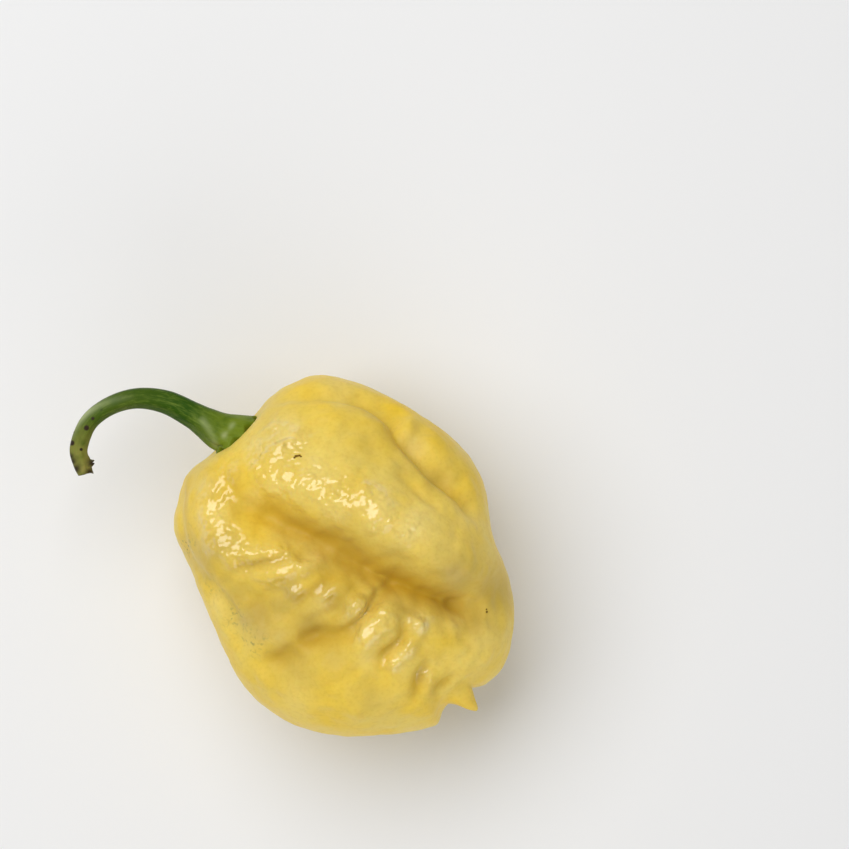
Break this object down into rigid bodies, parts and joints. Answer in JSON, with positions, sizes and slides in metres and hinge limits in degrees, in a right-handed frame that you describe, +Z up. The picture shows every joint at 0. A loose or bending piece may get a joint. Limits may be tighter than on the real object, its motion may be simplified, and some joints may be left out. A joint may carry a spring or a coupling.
{
  "type": "chilli pepper",
  "caption": "Fresh yellow chilli pepper lying on its side: a plump, lobed, crumpled pod with a short hooked tail and a curved green stalk.",
  "frame": {"origin": "on the surface the pepper lies on, under the middle of its box, stalk included", "axes": "+Z up from the surface; +X along the longest extent, from the stalk's tip towards the tail's side; +Y towards the side where the stalk leaves the pod. The pod's own axis, from calyx to tail, lies nearly level and points 50 degrees from +X towards -Y"},
  "size_m": [0.062, 0.0504, 0.0365],
  "materials": {
    "pod_skin": "waxy, glossy and finely dimpled",
    "stalk_green": "satin green plant tissue, drying brown at the torn end"
  },
  "bodies": {
    "root": {"pod": "pod_skin", "stalk": "stalk_green"}
  },
  "joints": []
}
